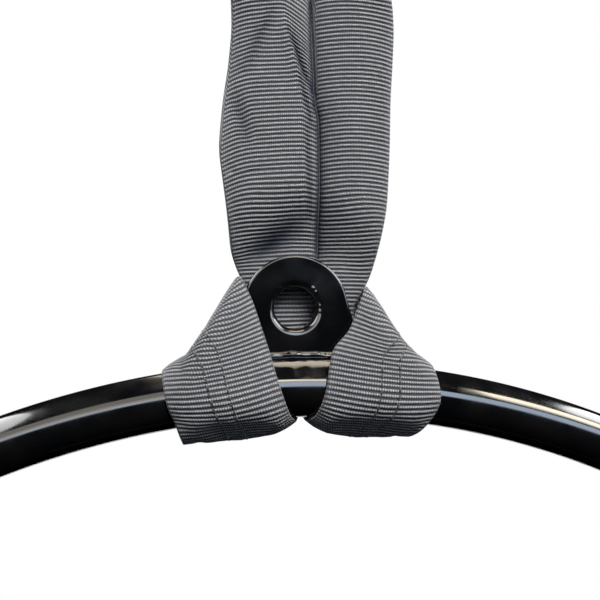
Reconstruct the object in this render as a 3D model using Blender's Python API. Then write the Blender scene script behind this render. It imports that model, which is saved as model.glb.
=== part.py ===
"""Aerial hoop: a bent steel ring with one welded tab, hung on a round sling that is hitched over the tab.

Metres, +Z up, the ring in the XZ plane. The origin is the point on the sling's top bight that bears
on whatever carries the hoop. Sizes are kept in one block, and every piece follows from them.
"""

import math
from collections import namedtuple

import bmesh
import bpy
from mathutils import Matrix, Vector

MM = 0.001

# Ring: one bent tube, butt welded over an inner sleeve
HOOP_DIAMETER = 800 * MM
TUBE_DIAMETER = 25.4 * MM
TUBE_WALL = 2 * MM
CLOSING_WELD_ANGLE = -5.6
CLOSING_WELD_LENGTH = 3 * MM
JOINT_SLEEVE_LENGTH = 60 * MM
JOINT_SLEEVE_WALL = 2 * MM
JOINT_SLEEVE_CLEARANCE = 0.6 * MM

# Tab: a flat plate with a round head, standing on the bar
TAB_THICKNESS = 10 * MM
TAB_EYE_RISE = 24 * MM
TAB_HEAD_RADIUS = 23.8 * MM
TAB_FOOT_WIDTH = 62 * MM
TAB_EYE_DIAMETER = 19 * MM
TAB_EYE_ROUNDING = 3 * MM
TAB_EDGE_ROUNDING = 1 * MM
WELD_WIDTH = 3.4 * MM
WELD_HEIGHT = 5.2 * MM
WELD_RIPPLE = 0.08
WELD_RIPPLE_LENGTH = 7 * MM
WELD_STEP = 1.8 * MM

# Round sling: a woven sleeve over a hank of yarn
SLING_THICKNESS = 9 * MM
PINCHED_THICKNESS = 8 * MM
REAR_THICKNESS = 7 * MM
CORNER_THICKNESS = 4.6 * MM
SLEEVE_WALL = 1.1 * MM
HANG_DROP = 265 * MM
EYE_RADIUS = 10 * MM
BIGHT_WIDTH = 38 * MM
NECK_RISE = 24 * MM
TWIST_HEIGHT = 170 * MM
LEG_SPLIT_X = 13 * MM
LEG_SPREAD = 0.22
TURN_REACH = 0.88
REAR_DEPTH = 19 * MM
REAR_LOW_DEPTH = 27 * MM
REAR_LOW_HEIGHT = 10 * MM

# Distances of one leg and its wrap from the middle of the tab
Side = namedtuple(
    "Side",
    "sign low_edge mid_edge top_edge gathered_edge rear_inner rear_outer front_inner front_outer"
    " corner_x corner_height",
)
LEFT = Side(
    sign=-1,
    low_edge=30 * MM,
    mid_edge=33 * MM,
    top_edge=28.5 * MM,
    gathered_edge=20.5 * MM,
    rear_inner=1 * MM,
    rear_outer=55 * MM,
    front_inner=8.5 * MM,
    front_outer=58 * MM,
    corner_x=25.2 * MM,
    corner_height=51 * MM,
)
RIGHT = Side(
    sign=1,
    low_edge=43.4 * MM,
    mid_edge=46.5 * MM,
    top_edge=49.8 * MM,
    gathered_edge=30 * MM,
    rear_inner=6 * MM,
    rear_outer=58 * MM,
    front_inner=12.4 * MM,
    front_outer=62.6 * MM,
    corner_x=33.5 * MM,
    corner_height=44 * MM,
)

# Clearances between pieces
GAP = 0.3 * MM
SOFT_GAP = 0.5 * MM

# Fineness of the solids
RING_STEPS = 72
RING_SIDES_RESOLUTION = 6
BORE_SIDES_RESOLUTION = 4
SQUARE_END_SHARE = 0.05
STRAP_SIDES = 12
STEPS_PER_SPAN = 2

RING_RADIUS = (HOOP_DIAMETER - TUBE_DIAMETER) / 2
TUBE_RADIUS = TUBE_DIAMETER / 2
EYE_HEIGHT = TUBE_RADIUS + TAB_EYE_RISE
TAB_TOP = EYE_HEIGHT + TAB_HEAD_RADIUS
SWING_HEIGHT = TAB_TOP + NECK_RISE


def clear_scene():
    for obj in list(bpy.data.objects):
        bpy.data.objects.remove(obj, do_unlink=True)


def new_collection(name):
    collection = bpy.data.collections.new(name)
    bpy.context.scene.collection.children.link(collection)
    return collection


def new_material(name, colour, roughness, metallic):
    material = bpy.data.materials.new(name)
    material.use_nodes = True
    shader = material.node_tree.nodes["Principled BSDF"]
    shader.inputs["Base Color"].default_value = (*colour, 1)
    shader.inputs["Roughness"].default_value = roughness
    shader.inputs["Metallic"].default_value = metallic
    material.diffuse_color = (*colour, 1)
    return material


def bar_drop(x):
    """How far the bar's centreline lies at x below its highest point."""
    return RING_RADIUS - math.sqrt(RING_RADIUS**2 - x**2)


def mix(a, b, share):
    return a + (b - a) * share


# Curves and meshes

def arc_points(start, end, steps):
    """Points on the ring's centreline between two angles in degrees, measured clockwise from the top.

    A short first and last step keeps both ends square to the ring.
    """
    square = (end - start) / steps * SQUARE_END_SHARE
    angles = [start, start + square]
    angles += [mix(start, end, i / steps) for i in range(1, steps)]
    angles += [end - square, end]
    points = []
    for angle in map(math.radians, angles):
        points.append((RING_RADIUS * math.sin(angle), 0, RING_RADIUS * (math.cos(angle) - 1)))
    return points


def round_bar(name, points, radius, resolution):
    """A round bar along the points, as a closed mesh."""
    curve = bpy.data.curves.new(name, "CURVE")
    curve.dimensions = "3D"
    curve.bevel_depth = radius
    curve.bevel_resolution = resolution
    curve.use_fill_caps = True
    spline = curve.splines.new("POLY")
    spline.points.add(len(points) - 1)
    for i, point in enumerate(points):
        spline.points[i].co = (*point, 1)
    return meshed(curve, name)


def meshed(curve, name):
    """The mesh of a curve, with its caps welded to its sides."""
    holder = bpy.data.objects.new(name, curve)
    bpy.context.scene.collection.objects.link(holder)
    evaluated = holder.evaluated_get(bpy.context.evaluated_depsgraph_get())
    mesh = bpy.data.meshes.new_from_object(evaluated)
    mesh.name = name
    bpy.data.objects.remove(holder)
    bpy.data.curves.remove(curve)
    shape = bmesh.new()
    shape.from_mesh(mesh)
    bmesh.ops.remove_doubles(shape, verts=shape.verts, dist=0.001 * MM)
    bmesh.ops.recalc_face_normals(shape, faces=shape.faces)
    shape.to_mesh(mesh)
    shape.free()
    return mesh


def add_piece(name, mesh, material, axis):
    """An object for one piece, with its origin on its joint's axis."""
    obj = bpy.data.objects.new(name, mesh)
    collections["parts"].objects.link(obj)
    mesh.materials.clear()
    mesh.materials.append(material)
    mesh.shade_smooth()
    mesh.set_sharp_from_angle(angle=math.radians(35))
    obj.parent = axis
    mesh.transform(Matrix.Translation(Vector((0, 0, -HANG_DROP)) - axis.location))
    return obj


def cut(obj, name, mesh):
    """Cuts a mesh, given where the bar's top is the origin, out of a piece."""
    cutter = bpy.data.objects.new(name, mesh)
    collections["cutters"].objects.link(cutter)
    cutter.hide_render = True
    cutter.display_type = "WIRE"
    cutter.parent = obj.parent
    mesh.transform(Matrix.Translation(Vector((0, 0, -HANG_DROP)) - obj.parent.location))
    modifier = obj.modifiers.new(name, "BOOLEAN")
    modifier.operation = "DIFFERENCE"
    modifier.object = cutter


def turned(name, profile, steps):
    """A mesh turned about the Z axis from points (radius, height), top to bottom."""
    shape = bmesh.new()
    line = [shape.verts.new((radius, 0, height)) for radius, height in profile]
    edges = [shape.edges.new(ends) for ends in zip(line, line[1:])]
    bmesh.ops.spin(
        shape, geom=line + edges, cent=(0, 0, 0), axis=(0, 0, 1), angle=math.tau, steps=steps, use_merge=True
    )
    bmesh.ops.remove_doubles(shape, verts=shape.verts, dist=0.001 * MM)
    bmesh.ops.recalc_face_normals(shape, faces=shape.faces)
    mesh = bpy.data.meshes.new(name)
    shape.to_mesh(mesh)
    shape.free()
    return mesh


def loft(name, outer, inner=None, closed_start=False):
    """A solid through rings of points. With inner rings it is a sleeve, open at its ends."""
    shape = bmesh.new()

    def skin(rings):
        rows = [[shape.verts.new(point) for point in ring] for ring in rings]
        for row, following in zip(rows, rows[1:]):
            rim(row, following)
        return rows[0], rows[-1]

    def rim(ring, other):
        for k in range(len(ring)):
            after = (k + 1) % len(ring)
            shape.faces.new((ring[k], ring[after], other[after], other[k]))

    first, last = skin(outer)
    if inner is None:
        shape.faces.new(first)
        shape.faces.new(last)
    else:
        inner_first, inner_last = skin(inner)
        rim(last, inner_last)
        if closed_start:
            shape.faces.new(first)
            shape.faces.new(inner_first)
        else:
            rim(first, inner_first)
    bmesh.ops.recalc_face_normals(shape, faces=shape.faces)
    mesh = bpy.data.meshes.new(name)
    shape.to_mesh(mesh)
    shape.free()
    return mesh


# Ring

def bent_tube(name, radius, bore, reach, steps, material, resolution=RING_SIDES_RESOLUTION):
    """A stretch of tube along the ring, open at both ends. reach is its first and last angle."""
    start, end = reach
    tube = add_piece(name, round_bar(name, arc_points(start, end, steps), radius, resolution), material, axes["swing"])
    past = math.degrees(CLOSING_WELD_LENGTH / 3 / RING_RADIUS)
    inner_points = arc_points(start - past, end + past, steps)
    cut(tube, name + "_bore", round_bar(name + "_bore", inner_points, bore, BORE_SIDES_RESOLUTION))


def make_ring():
    weld_half = math.degrees(CLOSING_WELD_LENGTH / 2 / RING_RADIUS)
    weld_reach = (CLOSING_WELD_ANGLE - weld_half, CLOSING_WELD_ANGLE + weld_half)
    gap_angle = math.degrees(GAP / RING_RADIUS)
    ring_reach = (weld_reach[1] + gap_angle, weld_reach[0] - gap_angle + 360)
    bore = TUBE_RADIUS - TUBE_WALL
    bent_tube("ring_tube", TUBE_RADIUS, bore, ring_reach, RING_STEPS, materials["paint"])
    bent_tube("ring_closing_weld", TUBE_RADIUS, bore, weld_reach, 2, materials["paint"])
    sleeve_half = math.degrees(JOINT_SLEEVE_LENGTH / 2 / RING_RADIUS)
    sleeve_reach = (CLOSING_WELD_ANGLE - sleeve_half, CLOSING_WELD_ANGLE + sleeve_half)
    sleeve_radius = bore - JOINT_SLEEVE_CLEARANCE
    bent_tube(
        "ring_joint_sleeve",
        sleeve_radius,
        sleeve_radius - JOINT_SLEEVE_WALL,
        sleeve_reach,
        4,
        materials["steel"],
        BORE_SIDES_RESOLUTION,
    )


# Tab and its welds

def tab_outline():
    """The tab seen from the front: a round head that runs in straight lines to the foot."""
    half_foot = TAB_FOOT_WIDTH / 2
    distance = math.hypot(half_foot, TAB_EYE_RISE)
    touch = math.degrees(math.atan2(-TAB_EYE_RISE, half_foot) + math.acos(TAB_HEAD_RADIUS / distance))
    points = [(half_foot, -bar_drop(half_foot)), (half_foot, TUBE_RADIUS)]
    head_steps = 28
    for i in range(head_steps + 1):
        angle = math.radians(touch + (180 - 2 * touch) * i / head_steps)
        points.append((TAB_HEAD_RADIUS * math.cos(angle), EYE_HEIGHT + TAB_HEAD_RADIUS * math.sin(angle)))
    points += [(-half_foot, TUBE_RADIUS), (-half_foot, -bar_drop(half_foot))]
    return points


def make_tab():
    outline = bpy.data.curves.new("suspension_tab", "CURVE")
    outline.dimensions = "2D"
    outline.fill_mode = "BOTH"
    outline.extrude = TAB_THICKNESS / 2 - TAB_EDGE_ROUNDING
    outline.bevel_depth = TAB_EDGE_ROUNDING
    outline.bevel_resolution = 1
    outline.offset = -TAB_EDGE_ROUNDING
    points = tab_outline()
    spline = outline.splines.new("POLY")
    spline.points.add(len(points) - 1)
    for point, (x, z) in zip(spline.points, points):
        point.co = (x, z, 0, 1)
    spline.use_cyclic_u = True
    mesh = meshed(outline, "suspension_tab")
    mesh.transform(Matrix.Rotation(math.pi / 2, 4, "X"))
    tab = add_piece("suspension_tab", mesh, materials["paint"], axes["swing"])
    cut(tab, "tab_saddle", bar_cutter("tab_saddle"))
    cut(tab, "tab_eye", eye_cutter())


def bar_cutter(name):
    """The bar under the tab with its clearance, for seating what stands on it."""
    reach = math.degrees(TAB_FOOT_WIDTH / RING_RADIUS)
    steps = round(2 * reach * RING_STEPS / 360) + 2
    return round_bar(name, arc_points(-reach, reach, steps), TUBE_RADIUS + GAP, RING_SIDES_RESOLUTION)


def eye_cutter():
    """The eye with its two rounded mouths, as one turned shape along Y."""
    radius = TAB_EYE_DIAMETER / 2
    half = TAB_THICKNESS / 2
    mouth = [(0, half + GAP), (radius + TAB_EYE_ROUNDING, half + GAP)]
    mouth_steps = 4
    for i in range(mouth_steps + 1):
        angle = math.radians(90 * i / mouth_steps)
        mouth.append(
            (
                radius + TAB_EYE_ROUNDING * (1 - math.sin(angle)),
                half - TAB_EYE_ROUNDING * (1 - math.cos(angle)),
            )
        )
    mesh = turned("tab_eye", mouth + [(r, -z) for r, z in reversed(mouth)], 32)
    mesh.transform(Matrix.Translation((0, 0, EYE_HEIGHT)) @ Matrix.Rotation(math.pi / 2, 4, "X"))
    return mesh


def weld_ring(x, y, out, ripple):
    """The section of a fillet at a point of the tab's outline: its bulging face, then down the bar."""

    def on_bar_surface(distance):
        foot = Vector((x, y, 0)) + out * (GAP + distance)
        foot.z = math.sqrt((TUBE_RADIUS + GAP) ** 2 - foot.y**2) - bar_drop(foot.x)
        return foot

    ring = []
    face_steps = 4
    for i in range(face_steps + 1):
        angle = math.radians(90 * (1 - i / face_steps))
        point = on_bar_surface(WELD_WIDTH * ripple * math.cos(angle))
        point.z += WELD_HEIGHT * ripple * math.sin(angle)
        ring.append(point)
    return ring + [on_bar_surface(WELD_WIDTH * ripple * share) for share in (0.6, 0.3, 0)]


def weld_rings(side):
    """One pass round half of the tab's foot, from end to end. side is -1 in front."""
    half_foot = TAB_FOOT_WIDTH / 2
    half_tab = side * TAB_THICKNESS / 2
    left, ahead, right = Vector((-1, 0, 0)), Vector((0, side, 0)), Vector((1, 0, 0))
    stops = [(-half_foot, side * GAP / 2, left), (-half_foot, half_tab, left)]
    corner_steps = 3
    for i in range(1, corner_steps + 1):
        stops.append((-half_foot, half_tab, left.slerp(ahead, i / corner_steps)))
    steps = round(TAB_FOOT_WIDTH / WELD_STEP)
    for i in range(1, steps + 1):
        stops.append((mix(-half_foot, half_foot, i / steps), half_tab, ahead))
    for i in range(1, corner_steps + 1):
        stops.append((half_foot, half_tab, ahead.slerp(right, i / corner_steps)))
    stops.append((half_foot, side * GAP / 2, right))
    rings = []
    for x, y, out in stops:
        ripple = 1 + WELD_RIPPLE * math.sin(math.tau * x / WELD_RIPPLE_LENGTH + side)
        rings.append(weld_ring(x, y, out, ripple))
    return rings


def make_welds():
    for name, side in (("tab_weld_front", -1), ("tab_weld_rear", 1)):
        add_piece(name, loft(name, weld_rings(side)), materials["paint"], axes["swing"])


# Sling

# The two edges of the strap at one place along it. level keeps its section there horizontal
Station = namedtuple("Station", "inner outer thickness level", defaults=(False,))


def blend_points(before, start, end, after, share):
    """A smooth curve from start to end, shaped by the points on either side (Catmull-Rom)."""
    return 0.5 * (
        2 * start
        + (end - before) * share
        + (2 * before - 5 * start + 4 * end - after) * share**2
        + (3 * start - before - 3 * end + after) * share**3
    )


def smooth_route(stations, per_span):
    """More stations, on smooth curves through those given."""
    route = []
    last = len(stations) - 1
    for i in range(last):
        around = [stations[max(i - 1, 0)], stations[i], stations[i + 1], stations[min(i + 2, last)]]
        for step in range(per_span):
            share = step / per_span
            inner = blend_points(*[station.inner for station in around], share)
            outer = blend_points(*[station.outer for station in around], share)
            thickness = stations[i].thickness + (stations[i + 1].thickness - stations[i].thickness) * share
            route.append(Station(inner, outer, thickness, stations[i].level and step == 0))
    route.append(stations[last])
    return route


def rings_of(route, inset):
    """The strap's section at each station, as rings of points, drawn in by inset all round."""
    rings = []
    for i, station in enumerate(route):
        before = route[max(i - 1, 0)]
        after = route[min(i + 1, len(route) - 1)]
        along = (after.inner + after.outer - before.inner - before.outer).normalized()
        if station.level:
            along = Vector((0, 0, math.copysign(1, along.z)))
        across = station.outer - station.inner
        half_width = across.length / 2 - inset
        across.normalize()
        out = across.cross(along).normalized()
        half_thickness = station.thickness / 2 - inset
        middle = (station.inner + station.outer) / 2
        ring = []
        for k in range(STRAP_SIDES):
            angle = math.tau * k / STRAP_SIDES
            wide = math.copysign(abs(math.cos(angle)) ** 0.7, math.cos(angle))
            thick = math.copysign(abs(math.sin(angle)) ** 0.7, math.sin(angle))
            ring.append(middle + across * half_width * wide + out * half_thickness * thick)
        rings.append(ring)
    return rings


def part_end(ring, towards):
    """An end ring drawn back by half the gap, square to itself, towards its own strap."""
    square = (ring[1] - ring[0]).cross(ring[STRAP_SIDES // 2] - ring[0]).normalized()
    if square.dot(towards[0] - ring[0]) < 0:
        square.negate()
    return [point + square * GAP / 2 for point in ring]


def stretch(rings, first, last):
    """The rings between two places on the route, drawn back where the strap goes on beyond them."""
    chosen = rings[first : last + 1]
    if first > 0:
        chosen[0] = part_end(chosen[0], chosen[1])
    if last < len(rings) - 1:
        chosen[-1] = part_end(chosen[-1], chosen[-2])
    return chosen


def make_strap(name, route, axis, first=0, last=None):
    """A stretch of the sling between two stations of its route: its sleeve, and the yarn inside."""
    last = len(route) - 1 if last is None else last

    def rings(inset):
        return stretch(rings_of(route, inset), first, last)

    add_piece(name + "_sleeve", loft(name + "_sleeve", rings(0), rings(SLEEVE_WALL)), materials["sleeve"], axis)
    add_piece(name + "_core", loft(name + "_core", rings(SLEEVE_WALL + GAP)), materials["yarn"], axis)


def on_bar(x, degrees, thickness):
    """A point of a strap that lies on the bar, at an angle from the bar's rear, positive upwards."""
    reach = TUBE_RADIUS + SOFT_GAP + thickness / 2
    angle = math.radians(degrees)
    return Vector((x, reach * math.cos(angle), reach * math.sin(angle) - bar_drop(x)))


def side_route(side):
    """One leg's route in the hitch: behind the tab, round the bar, and up to the side of the legs."""
    s = side.sign
    split = LEG_SPLIT_X + s * GAP
    behind = TAB_THICKNESS / 2 + SOFT_GAP + PINCHED_THICKNESS / 2
    neck = SWING_HEIGHT - SLING_THICKNESS / 2 - GAP

    def level(inner_x, outer_x, y, z, thickness):
        return Station(Vector((inner_x, y, z)), Vector((s * outer_x, y, z)), thickness)

    top = level(split, side.low_edge, 0, neck, SLING_THICKNESS)

    def round_bar_at(share, degrees):
        """On the bar, a share of the way from the rear edges to the front edges."""
        inner_x = s * mix(side.rear_inner, side.front_inner, share)
        outer_x = s * mix(side.rear_outer, side.front_outer, share)
        inner = on_bar(inner_x, degrees, SLING_THICKNESS)
        return Station(inner, on_bar(outer_x, degrees, SLING_THICKNESS), SLING_THICKNESS)

    low_leg = level(split * 0.75, side.gathered_edge, behind, EYE_HEIGHT + 8 * MM, PINCHED_THICKNESS)
    meets_bar = round_bar_at(0, 25)
    meets_bar = meets_bar._replace(outer=mix(low_leg.outer, meets_bar.outer, 0.85))
    between_outer = mix(low_leg.outer, meets_bar.outer, 0.4)
    between_outer.x = mix(low_leg.outer.x, meets_bar.outer.x, LEG_SPREAD)
    between = Station(mix(low_leg.inner, meets_bar.inner, 0.45), between_outer, PINCHED_THICKNESS)
    route = [
        top._replace(level=True),
        level(split, mix(side.low_edge, side.gathered_edge, 0.15), 0.45 * behind, TAB_TOP + 11 * MM, SLING_THICKNESS),
        level(split, mix(side.low_edge, side.gathered_edge, 0.35), behind, TAB_TOP + 1 * MM, PINCHED_THICKNESS),
        low_leg,
        between,
        meets_bar,
    ]
    route += [round_bar_at(share, degrees) for share, degrees in ((0, -10), (0.1, -50), (0.3, -90))]
    route += [round_bar_at(share, degrees) for share, degrees in ((0.6, -130), (1, -170))]

    # Up the front: the inner edge runs straight to the corner, the outer one goes over the bar
    corner = Vector((s * side.corner_x, -CORNER_THICKNESS / 2, side.corner_height))
    leaves = on_bar(s * side.front_inner, -192, SLING_THICKNESS)
    front = -(TAB_THICKNESS / 2 + SOFT_GAP + CORNER_THICKNESS / 2)
    climbing = (
        (0.02, -200, SLING_THICKNESS),
        (0.3, -228, SLING_THICKNESS),
        (0.6, -252, PINCHED_THICKNESS),
        (0.86, -275, REAR_THICKNESS),
    )
    for share, degrees, thickness in climbing:
        inner = mix(leaves, corner, share)
        inner.y = min(inner.y, front - (thickness - CORNER_THICKNESS) / 2)
        outer_x = s * mix(side.front_outer, side.rear_outer, share)
        route.append(Station(inner, on_bar(outer_x, degrees, thickness), thickness))
    return route + side_turn(side)


def side_turn(side):
    """Round the outside of the gathered legs, from the front to the back."""
    s = side.sign
    top = side.corner_height
    bar = TUBE_RADIUS + SOFT_GAP
    legs = TAB_THICKNESS / 2 + PINCHED_THICKNESS / 2
    beside = s * side.corner_x
    low_x = s * side.rear_outer * TURN_REACH
    return [
        Station(Vector((beside, 0, top)), Vector((low_x, legs, bar + 1 * MM)), CORNER_THICKNESS),
        Station(Vector((beside, legs, top + 1 * MM)), Vector((low_x, 2 * legs, bar)), CORNER_THICKNESS),
    ]


def rear_route():
    """The bight behind the legs, from the left side to the right."""
    stations = []
    for side, shares in ((LEFT, (0.2, 0.65)), (RIGHT, (0.65, 0.2))):
        for share in shares:
            inner = Vector((side.sign * mix(side.corner_x, 0, share), REAR_DEPTH, side.corner_height))
            outer_x = side.sign * mix(side.rear_outer, 0, share + 0.05)
            stations.append(
                Station(inner, Vector((outer_x, REAR_LOW_DEPTH, REAR_LOW_HEIGHT)), REAR_THICKNESS)
            )
    return stations


def leg_route(side):
    """One leg of the sling between the neck and the twist."""
    split = LEG_SPLIT_X + side.sign * GAP
    heights = (SWING_HEIGHT, mix(SWING_HEIGHT, TWIST_HEIGHT, 0.33), TWIST_HEIGHT - GAP / 2)
    stations = []
    for height, edge in zip(heights, (side.low_edge, side.mid_edge, side.top_edge)):
        inner = Vector((split, 0, height))
        stations.append(Station(inner, Vector((side.sign * edge, 0, height)), SLING_THICKNESS))
    return smooth_route(stations, 4)


def rounded_end(station):
    """Stations that round the leg's lower end about the swing axis."""
    stations = []
    for degrees in (72, 48, 24):
        drop = Vector((0, 0, -station.thickness / 2 * math.sin(math.radians(degrees))))
        thickness = station.thickness * math.cos(math.radians(degrees))
        stations.append(Station(station.inner + drop, station.outer + drop, thickness))
    return stations


def make_leg(name, side):
    """A leg whose lower end is closed and round, so that it can swing over the hitch."""
    route = leg_route(side)
    outer = rings_of(rounded_end(route[0]) + route, 0)
    sleeve = loft(name + "_sleeve", outer, rings_of(route, SLEEVE_WALL), closed_start=True)
    add_piece(name + "_sleeve", sleeve, materials["sleeve"], axes["twist"])
    start = Vector((0, 0, GAP))
    raised = [Station(route[0].inner + start, route[0].outer + start, route[0].thickness)] + route[1:]
    core = loft(name + "_core", rings_of(raised, SLEEVE_WALL + GAP))
    add_piece(name + "_core", core, materials["yarn"], axes["twist"])


def bight_route():
    """The top bight: each leg turns a quarter round as it rises, and they meet over the eye."""
    radius = EYE_RADIUS + SLING_THICKNESS / 2
    crown = HANG_DROP - EYE_RADIUS

    def rising(side, steps):
        split = LEG_SPLIT_X + side.sign * GAP
        low = (split + side.sign * side.top_edge) / 2
        width = abs(side.sign * side.top_edge - split)
        stations = []
        for i in range(steps):
            share = i / steps
            ease = share * share * (3 - 2 * share)
            turn = math.radians(90 * ease)
            middle = Vector((mix(low, side.sign * radius, ease), 0, mix(TWIST_HEIGHT + GAP / 2, crown, share)))
            half = Vector((side.sign * math.cos(turn), -math.sin(turn), 0)) * mix(width, BIGHT_WIDTH, ease) / 2
            stations.append(Station(middle - half, middle + half, SLING_THICKNESS))
        return stations

    arch = []
    arch_steps = 8
    half = Vector((0, -BIGHT_WIDTH / 2, 0))
    for i in range(arch_steps + 1):
        angle = math.pi * (1 - i / arch_steps)
        middle = Vector((radius * math.cos(angle), 0, crown + radius * math.sin(angle)))
        arch.append(Station(middle - half, middle + half, SLING_THICKNESS))
    return rising(LEFT, 8) + arch + rising(RIGHT, 8)[::-1]


def make_hitch():
    """The hitched part of the sling, in three stretches."""
    left = side_route(LEFT)
    right = side_route(RIGHT)
    stations = left + rear_route() + right[::-1]
    route = smooth_route(stations, STEPS_PER_SPAN)
    left_end = (len(left) - 1) * STEPS_PER_SPAN
    right_start = (len(stations) - len(right)) * STEPS_PER_SPAN
    make_strap("left_wrap", route, axes["swing"], last=left_end)
    make_strap("rear_bight", route, axes["swing"], left_end, right_start)
    make_strap("right_wrap", route, axes["swing"], first=right_start)


def make_axes():
    """An empty on each joint's axis, named for it."""
    places = {
        "hang": (0, 0, 0),
        "twist": (0, 0, TWIST_HEIGHT - HANG_DROP),
        "swing": (0, 0, SWING_HEIGHT - HANG_DROP),
    }
    made = {}
    for name, place in places.items():
        empty = bpy.data.objects.new(name + "_axis", None)
        empty.location = place
        collections["parts"].objects.link(empty)
        made[name] = empty
    return made


clear_scene()
collections = {"parts": new_collection("aerial_hoop"), "cutters": new_collection("cutters")}
materials = {
    "paint": new_material("black_paint", (0.012, 0.012, 0.014), 0.12, 0),
    "steel": new_material("bare_steel", (0.45, 0.45, 0.46), 0.35, 1),
    "sleeve": new_material("charcoal_webbing", (0.14, 0.15, 0.16), 0.75, 0),
    "yarn": new_material("core_yarn", (0.75, 0.73, 0.68), 0.8, 0),
}
axes = make_axes()
make_ring()
make_tab()
make_welds()
make_hitch()
make_leg("left_leg", LEFT)
make_leg("right_leg", RIGHT)
make_strap("top_bight", bight_route(), axes["hang"])
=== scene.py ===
import math

import bmesh
import bpy
import numpy as np
from mathutils import Matrix, Vector


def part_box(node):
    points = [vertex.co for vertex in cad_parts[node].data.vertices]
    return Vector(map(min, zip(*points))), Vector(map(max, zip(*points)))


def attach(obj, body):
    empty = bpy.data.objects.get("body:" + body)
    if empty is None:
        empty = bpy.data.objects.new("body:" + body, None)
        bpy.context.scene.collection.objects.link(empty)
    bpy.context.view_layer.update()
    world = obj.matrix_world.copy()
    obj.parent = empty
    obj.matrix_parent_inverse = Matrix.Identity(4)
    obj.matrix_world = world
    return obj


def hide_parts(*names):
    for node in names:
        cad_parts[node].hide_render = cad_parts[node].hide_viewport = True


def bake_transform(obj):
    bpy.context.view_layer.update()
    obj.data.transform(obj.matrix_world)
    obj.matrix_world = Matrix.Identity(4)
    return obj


print("Loading the frame")
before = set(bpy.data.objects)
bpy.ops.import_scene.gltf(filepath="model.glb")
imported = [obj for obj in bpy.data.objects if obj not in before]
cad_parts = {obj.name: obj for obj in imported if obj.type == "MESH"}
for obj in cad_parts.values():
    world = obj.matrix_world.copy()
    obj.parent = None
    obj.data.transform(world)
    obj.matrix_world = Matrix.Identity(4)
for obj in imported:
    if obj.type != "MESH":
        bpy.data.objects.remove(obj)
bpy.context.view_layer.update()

mm = 0.001
white = (1.0, 1.0, 1.0)

# The hitch is worked out in millimetres from the bar's centreline at the top of the ring, and then lowered
hangDrop = 265

# Ring sizes, taken from the solids
tubeLow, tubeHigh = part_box("ring_tube")
tubeRadius = (tubeHigh.y - tubeLow.y) / 2 / mm
ringRadius = (tubeHigh.x - tubeLow.x) / 2 / mm - tubeRadius


def barDrop(x):  # how far the bar's centreline has fallen at x
    return ringRadius - np.sqrt(ringRadius**2 - np.square(x))


def smooth(value, low, high):  # 0 at low, 1 at high, with an easy start and stop
    share = np.clip((value - low) / (high - low), 0, 1)
    return share * share * (3 - 2 * share)


def mix(a, b, share):
    return a + (b - a) * share


def onCurve(points, shares):  # points at shares of each span, on a smooth curve through those given
    padded = np.concatenate([points[:1], points, points[-1:]])
    made = []
    for i in range(len(points) - 1):
        a, b, c, d = padded[i : i + 4]
        square, cube = 2 * a - 5 * b + 4 * c - d, 3 * b - a - 3 * c + d
        for t in shares:
            made.append(0.5 * (2 * b + (c - a) * t + square * t**2 + cube * t**3))
    return np.array(made + [points[-1]])


def running(points):  # the distance run up to each point, or up to each row of points on average
    steps = np.linalg.norm(np.diff(points, axis=0), axis=-1).reshape(len(points) - 1, -1)
    return np.concatenate([[0], np.cumsum(steps.mean(axis=1))])


def readOff(wanted, distance, table):  # rows of a table at distances between its own
    return np.stack([np.interp(wanted, distance, table[:, k]) for k in range(table.shape[1])], axis=1)


def linked(name, data):  # a new object in the scene
    thing = bpy.data.objects.new(name, data)
    bpy.context.scene.collection.objects.link(thing)
    return thing


# Camera, at the photograph's place in millimetres, turned by degrees

view = {
    "place": (-45, -393, 21),
    "turns": (("Z", -6.9), ("X", 2.8), ("Y", 0.8)),  # yaw, pitch and roll
    "lens": 52.2,
    "sensor": 36,
    "near": 0.01,
}


def makeCamera():
    data = bpy.data.cameras.new("camera")
    data.lens = view["lens"]
    data.sensor_width = view["sensor"]
    data.clip_start = view["near"]
    camera = linked("camera", data)
    x, y, z = view["place"]
    pose = Matrix.Translation((x * mm, y * mm, (z - hangDrop) * mm))
    for axis, degrees in view["turns"]:
        pose @= Matrix.Rotation(math.radians(degrees), 4, axis)
    camera.matrix_world = pose @ Matrix.Rotation(math.pi / 2, 4, "X")
    bpy.context.scene.camera = camera


# Shader helpers

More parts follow.
